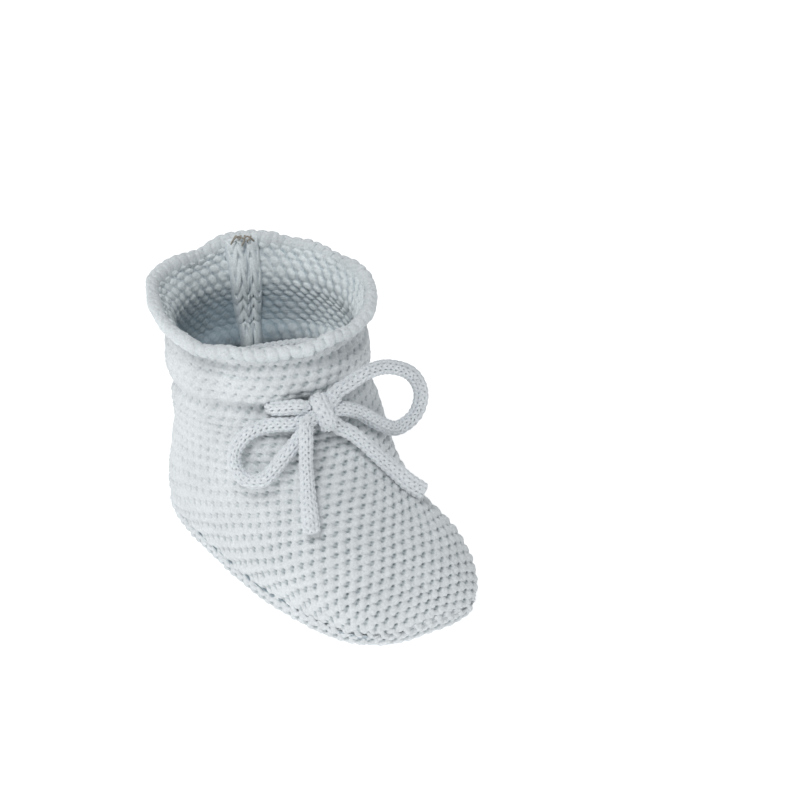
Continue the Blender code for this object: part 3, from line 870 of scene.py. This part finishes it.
left_eyelet = eyelet(-13.5)
right_eyelet = eyelet(5.0)
inside_ring = []
for angle in np.radians(np.linspace(38, 306, 15)):
    near_bar = np.exp(-((angle - (pi - SEAM_TURN)) / radians(32)) ** 4)
    reach = COLLAR_RADIUS - COLLAR_WALL - STRING_RADIUS - STRING_GAP - near_bar * SEAM_BAR_ROOM
    inside_ring.append(collar_point(reach, -1.5, angle))
left_out = unit(left_eyelet - ANKLE) * 3.0
right_out = unit(right_eyelet - ANKLE) * 3.0
left_stub = [KNOT + (-3.0, 1.6, 0.6), KNOT + (-6.3, 3.4, 1.4)]
left_stub += [left_eyelet + left_out * 1.3, left_eyelet - left_out * 1.3]
right_stub = [right_eyelet - right_out * 1.3, right_eyelet + right_out * 0.9]
right_stub += [KNOT + (2.6, 6.4, 0.0), KNOT + (1.0, 3.0, 0.0)]
drawstring_path = smooth_route(left_stub + inside_ring[::-1] + right_stub, 0.3)
drawstring_hint = np.broadcast_to(TILT_UP, drawstring_path.shape)
drawstring = cord_object("drawstring_knit", [knit_cord(drawstring_path, drawstring_hint, around=48)])
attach(drawstring, "foot")
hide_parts("ankle_drawstring")

# ---------------------------------------------------------------- upper


HEEL_ROWS = 150
TOE_ROWS = 178
heel_places = even_places(WAIST, HEEL_END, HEEL_ROWS)
foot_places = np.concatenate([heel_places, even_places(HEEL_END, TOE_END, TOE_ROWS)[1:]])
foot_grid, foot_shade = upper_knit(foot_places, 540)
heel_part = grid_object("foot_back", [(foot_grid[:HEEL_ROWS], foot_shade[:HEEL_ROWS], False)], foot_yarn)
TOE_START = HEEL_ROWS - 1
toe_part = grid_object("foot_toe", [(foot_grid[TOE_START:], foot_shade[TOE_START:], False)], foot_yarn)
lining_grid, lining_shade = upper_knit(even_places(WAIST - 0.01, 0.965, 130), 260, inside=True)
inside_part = grid_object("foot_inside", [(lining_grid, lining_shade, True)], inner_yarn)
for piece in (heel_part, toe_part, inside_part):
    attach(piece, "foot")
    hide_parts("foot_upper")

cuff_grid, cuff_shade = upper_knit(even_places(0.0, WAIST, 110), 560)
cuff_outside = grid_object("cuff_outside", [(cuff_grid, cuff_shade, False)], cuff_yarn)
cuff_in_grid, cuff_in_shade = upper_knit(even_places(0.02, WAIST, 150), 520, inside=True)
cuff_inside = grid_object("cuff_inside", [(cuff_in_grid, cuff_in_shade, True)], inner_yarn)
for piece in (cuff_outside, cuff_inside):
    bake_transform(piece)
    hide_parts("ankle_cuff")

# ---------------------------------------------------------------- rolled edge

RIM_LOBES = 60
RIM_COLUMNS = 760
RIM_AROUND = 44
RIM_REACH = 2.0
RIM_RISE = 2.7
RIM_LEAN = 0.25
RIM_INSET = 1.3
RIM_DROP = 1.6
RIM_FLOOR = -0.45


def rim_line(angle):
    """Middle of the rolled edge, in mm, with its outward direction."""
    t = np.zeros_like(angle)
    p = surface(t, angle)
    middle = (surface(t, np.zeros_like(angle)) + surface(t, np.full_like(angle, pi))) / 2
    out = p - middle
    out[:, 2] = 0
    out = unit(out)
    p = p + out * (soft_offset(t, angle)[:, None] - RIM_INSET)
    p[:, 2] += rim_lift(t, angle) - RIM_DROP
    return p, out


fine_angle = np.linspace(-pi, pi, 2001)
fine_length = lengths_along(rim_line(fine_angle)[0])
rim_length = np.linspace(0, fine_length[-1], RIM_COLUMNS, endpoint=False)
rim_middle, rim_out = rim_line(np.interp(rim_length, fine_length, fine_angle))


def rim_height(u, a):
    """Cast-off stitches: leaning lobes up the outside and over the top, and flatter ones inside."""
    high = np.full(np.broadcast(u, a).shape, RIM_FLOOR)
    for middle, slant, reach, shift, top in ((0.45, 0.18, 1.25, 0.0, 0.78), (2.5, -0.12, 1.25, 0.5, 0.60)):
        off = (a - middle + pi) % (2 * pi) - pi
        s = (u + slant * off + shift) % 1.0 - 0.5
        inside = 1 - (np.abs(s) / 0.52) ** 2.4 - (np.abs(off) / reach) ** 3.0
        high = np.maximum(high, RIM_FLOOR + top * np.clip(inside, 0, 1) ** 0.5)
    return high


# Grids of the stitch number along the rim, and of the turn round its roll
lobes = np.arange(RIM_COLUMNS) / RIM_COLUMNS * RIM_LOBES
lobes = lobes + 0.12 * waver(lobes * 0.8, lobes * 0.3, 2)
rim_u, rim_turn = np.meshgrid(lobes, np.linspace(0, 2 * pi, RIM_AROUND, endpoint=False), indexing="ij")
rim_h = rim_height(rim_u, rim_turn)
rim_h = rim_h + 0.20 * stitch_size(rim_u, 5) + 0.16 * waver(rim_u * 0.5, rim_turn * 1.5, 4)
tip_out = (RIM_REACH + rim_h) * np.cos(rim_turn)
tip_up = (RIM_RISE + rim_h) * np.sin(rim_turn)
rim_grid = rim_middle[:, None] + tip_out[..., None] * rim_out[:, None]
rim_grid[..., 2] += tip_up
rim_grid = rim_grid + fluff(rim_grid)[..., None] * rim_out[:, None]
# The roll leans outward at its top
rim_grid = rim_grid + (RIM_LEAN * tip_up)[..., None] * rim_out[:, None]
rim_grid = np.concatenate([rim_grid, rim_grid[:1]])
# Painted shade where the roll sinks between its lobes
rim_shade = smoothstep(-0.85, -0.05, np.concatenate([rim_h, rim_h[:1]]))
rim = grid_object("rolled_edge", [(rim_grid, rim_shade, False)], edge_yarn, closed=True)
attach(rim, "cuff")
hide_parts("cast_off_edge")

# ---------------------------------------------------------------- inner back seam

BAR_HALF = 5.6
BAR_DEEP = 2.7
BAR_ROW = 3.0
BAR_COLUMN = 4.2
BAR_STITCH = knit_tile(stocking_yarns(BAR_COLUMN, BAR_ROW, 0.80), BAR_COLUMN, BAR_ROW)


def seam_bar(places):
    """Both folded edges of the back seam, as columns of V stitches on the inside of the wall."""
    s = np.linspace(-1, 1, 70)
    t = np.broadcast_to(places[:, None], (len(places), len(s)))
    turn_at = seam_turn(t)
    row_half = section(t)[4]
    across = s[None] * (BAR_HALF * (1 - 0.26 * smoothstep(7.0, 20.0, length_at(t))))
    angle = pi - turn_at - across / row_half
    base, normal = soft_surface(places, angle)
    body = np.clip(1 - np.abs(s / 0.98) ** 5, 0, 1) ** 0.5
    length = length_at(places)
    u = across / BAR_COLUMN
    v = np.broadcast_to((length / BAR_ROW)[:, None], angle.shape)
    h = np.maximum(read_tile(BAR_STITCH, u + 0.07 * waver(v * 0.7, v, 1), v), -0.35) - 0.5
    # A crack runs beside the middle, between the two edges
    crack = bump(across, 0.9, 0.5)
    h = h * 0.9 - 1.0 * crack
    # Painted shade darkens the crack
    shade = smoothstep(-1.7, 0.2, h) * (1 - 0.3 * crack)
    ends = smoothstep(0.0, 1.6, length - length[0]) ** 0.5
    rise = (BAR_DEEP * body)[None] * np.maximum(ends, 0.05)[:, None]
    rise = rise + h * body[None] * ends[:, None]
    # Painted shade darkens the bar deeper inside, and toward its sides where it meets the wall
    shade = shade * (1 - 0.35 * smoothstep(8.0, 24.0, length))[:, None]
    return base - normal * (FABRIC - 0.4 + rise)[..., None], shade * (0.4 + 0.6 * body[None])


bar_grid, bar_shade = seam_bar(even_places(0.004, WAIST + 0.02, 110))
cuff_bar = grid_object("cuff_seam_bar", [(bar_grid, bar_shade, False)], bar_yarn)
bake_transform(cuff_bar)
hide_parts("cuff_seam")
bar_grid, bar_shade = seam_bar(even_places(WAIST - 0.01, 0.585, 90))
heel_bar = grid_object("heel_seam_bar", [(bar_grid, bar_shade, False)], bar_yarn)
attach(heel_bar, "foot")
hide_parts("heel_seam")

# ---------------------------------------------------------------- sole

SOLE_COLUMNS = 900
SOLE_STITCH = 3.7
SOLE_ROW = 3.6
SPINE_X = 2.0
SPINE_REACH = 28.0


def resampled(loop, count):
    """Evenly spaced points round a closed flat line, and its length."""
    length = lengths_along(loop)
    at = np.linspace(0, length[-1], count, endpoint=False)
    return np.stack([np.interp(at, length, loop[:, k]) for k in range(2)], -1), length[-1]


def outward_of(loop):
    """Outward directions square to a closed flat line."""
    along = unit(np.roll(loop, -1, 0) - np.roll(loop, 1, 0))
    out = np.stack([along[:, 1], -along[:, 0]], -1)
    if (out * (loop - loop.mean(0))).sum() < 0:
        out = -out
    return out


def flat_ring(xy, z):
    return np.column_stack([xy, np.full(len(xy), z)])


# The line where the upper meets the sole, smoothed and drawn in a little round the toe
open_t = [t for t in np.linspace(0.6, TOE_END, 1601) if section(t)[3] < SEAM_Z]
right_side = np.array([surface(np.array(t), np.array(side_ends(t)[1])) for t in open_t])
left_side = right_side.copy()
left_side[:, 0] = 2 * section(np.array(open_t))[7] - right_side[:, 0]
outline = np.vstack([right_side, left_side[::-1], right_side[:1]])[:, :2]
sole_line, sole_length = resampled(outline, SOLE_COLUMNS)
for _ in range(30):
    sole_line = (2 * sole_line + np.roll(sole_line, 1, 0) + np.roll(sole_line, -1, 0)) / 4
outward = outward_of(sole_line)
sole_line = sole_line - outward * 0.6 * smoothstep(-38.0, -50.0, sole_line[:, 1])[:, None]
spine = np.stack([np.full(SOLE_COLUMNS, SPINE_X), np.clip(sole_line[:, 1], -SPINE_REACH, SPINE_REACH)], -1)

# Side band as (height, distance outside that line): a lip hidden in the seam, down, and under
BAND = [(9.4, -2.0), (8.7, -1.4), (8.0, -0.7), (7.2, -0.2), (6.2, 0.1), (5.2, 0.0), (4.2, -0.5),
        (3.2, -1.6), (2.3, -3.2), (1.6, -5.4), (1.1, -8.0), (0.75, -11.0)]
band = smooth_route([(z, out, 0) for z, out in BAND], 0.33)
band_length = lengths_along(band)
under_z, under_out = BAND[-1]
under_edge = sole_line + outward * under_out
# The underside runs flat from the band's edge in to the middle line
under = np.linspace(0, 1, 46)[1:] ** 0.9
sole_rings = [flat_ring(sole_line + outward * out, z) for z, out, _ in band]
sole_rings += [flat_ring(under_edge * (1 - s) + spine * s, under_z) for s in under]
sole_points = np.array(sole_rings)
sole_normals = grid_normals(sole_points, closed=True)
if sole_normals[3, 0, :2] @ outward[0] < 0:
    sole_normals = -sole_normals
sole_normals[len(band) + 1:] = (0, 0, -1)
# Rows of stitches follow the band, and run straight across the underside
stitches_round = round(sole_length / SOLE_STITCH)
u_band = np.broadcast_to(np.arange(SOLE_COLUMNS) / SOLE_COLUMNS * stitches_round, sole_points.shape[:2])
v_band = np.append(band_length, np.full(len(under), band_length[-1]))[:, None] / SOLE_ROW
h_band, shade_band = garter(-u_band, -v_band * 1.05 + 0.42, uneven=1.2)
h_flat, shade_flat = garter(sole_points[..., 0] / STITCH, sole_points[..., 1] / RIDGE)
flat = (np.arange(len(sole_points)) >= len(band))[:, None]
sole_h = np.where(flat, h_flat, h_band)
sole_shade = np.where(flat, shade_flat, shade_band)
sole_grid = sole_points + sole_normals * (sole_h - 0.1)[..., None]
sole_grid[..., 2] = np.maximum(sole_grid[..., 2], 0.0)

# Inside face, as (height, share of the way in to the middle line)
insole_steps = [(7.0, 0.0), (5.0, 0.03)] + [(3.5, 0.10 + 0.90 * k / 36) for k in range(37)]
insole_line = sole_line - outward * 2.0
insole_points = np.array([flat_ring(insole_line * (1 - s) + spine * s, z) for z, s in insole_steps])[:, ::3]
h_in, shade_in = garter(insole_points[..., 0] / STITCH, insole_points[..., 1] / RIDGE, INNER_GARTER)
insole_points[2:, :, 2] += h_in[2:] * 0.8
sole_faces = [(sole_grid, sole_shade, False), (insole_points, shade_in, True)]
sole = grid_object("sole_knitted", sole_faces, sole_yarn, closed=True)
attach(sole, "foot")
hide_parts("sole")

# ---------------------------------------------------------------- overcast yarn between sole and upper

OVERCAST_PITCH = 3.7
OVERCAST_RADIUS = 0.80
TURN_POINTS = 14
TUBE_SIDES = 8


def round_tube(path, side, up, radius):
    """Rings round a path. The radius is one number, or one for each point."""
    a = np.linspace(0, 2 * pi, TUBE_SIDES, endpoint=False)
    ring = np.cos(a)[None, :, None] * side[:, None] + np.sin(a)[None, :, None] * up[:, None]
    return path[:, None] + np.reshape(radius, (-1, 1, 1)) * ring


coil_count = round(sole_length / OVERCAST_PITCH) * TURN_POINTS
seam_line, _ = resampled(np.vstack([sole_line, sole_line[:1]]), coil_count)
phase = np.arange(coil_count) / TURN_POINTS * 2 * pi
phase = phase + 0.35 * waver(phase * 0.31, phase * 0.17, 4)
coil_out = 0.50 * np.cos(phase) - 0.30 + 0.30 * smoothstep(-48.0, -36.0, seam_line[:, 1])
coil_z = SEAM_Z + 0.2 + 0.80 * np.sin(phase)
coil = np.column_stack([seam_line + outward_of(seam_line) * coil_out[:, None], coil_z])
coil_forward = unit(np.roll(coil, -1, 0) - np.roll(coil, 1, 0))
# The small second term keeps the side from vanishing where the yarn runs straight up
coil_side = unit(np.cross(coil_forward, np.array((0.0, 0.0, 1.0)) + 0.01 * coil_forward[:, ::-1]))
coil_rings = round_tube(coil, coil_side, np.cross(coil_side, coil_forward), OVERCAST_RADIUS)
coil_rings = np.concatenate([coil_rings, coil_rings[:1]])
overcast = grid_object("overcast_yarn", [(coil_rings, 0.85, False)], overcast_yarn, closed=True)
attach(overcast, "foot")
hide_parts("sole_seam")

# ---------------------------------------------------------------- leftover thread on the inner seam

THREAD_RADIUS = 0.28
TAIL_RADIUS = 0.22


def thin_strand(points, radius):
    path = smooth_route(points, 0.15)
    side, near = frames_along(path, np.array((0.31, 0.52, 0.79)))
    taper = np.full(len(path), radius)
    taper[[0, -1]] = radius * 0.05
    return round_tube(path, side, near, taper)


top_angles = pi - SEAM_TURN + np.array([[0.03, 0, -0.03]] * 2)
bar_top, bar_normal = soft_surface(place_at(np.array([0.8, 1.6])), top_angles)
bar_in = -bar_normal[0, 1]
bar_side = unit(np.array((bar_in[1], -bar_in[0], 0.0)))
thread_base = bar_top[0, 1] + bar_in * (FABRIC + BAR_DEEP - 1.2)


def thread_route(places):
    """Route points from places given across the seam bar's top, above it, and out from it."""
    route = []
    for across, up, out in places:
        route.append(thread_base + bar_side * across + np.array((0, 0, up)) + bar_in * out)
    return route


thread_parts = [
    [(-3.6, -1.4, 1.6), (-2.6, -0.2, 1.9), (-1.4, 0.5, 1.5), (-0.3, -0.1, 2.2),
     (0.8, 0.6, 1.4), (2.0, 0.4, 1.8), (3.0, -0.6, 1.7), (3.5, -2.0, 1.5)],
    [(-2.8, 0.6, 0.8), (-2.0, -0.6, 2.2), (-1.2, -1.2, 2.4)],
    [(-0.9, 1.0, 0.6), (-0.6, -0.4, 2.2), (-0.2, -1.6, 2.6), (0.3, -2.6, 2.4)],
    [(0.2, 1.0, 0.6), (0.9, -0.2, 2.0), (1.9, 0.9, 1.0), (2.7, -0.1, 2.0)],
]
strands = [thin_strand(thread_route(part), THREAD_RADIUS) for part in thread_parts]
thread = grid_object("thread_ends", [(s, 1.0, False) for s in strands], thread_yarn, closed=True)
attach(thread, "cuff")
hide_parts("seam_thread")

# A short end of the knit's own yarn hangs beside the seam
tail_route = thread_route([(3.4, -6.5, 1.2), (4.2, -7.4, 2.0), (5.0, -8.2, 2.4), (5.6, -9.6, 2.2)])
tail = thin_strand(tail_route, TAIL_RADIUS)
yarn_tail = grid_object("yarn_tail", [(tail, 1.0, False)], edge_yarn, closed=True)
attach(yarn_tail, "cuff")
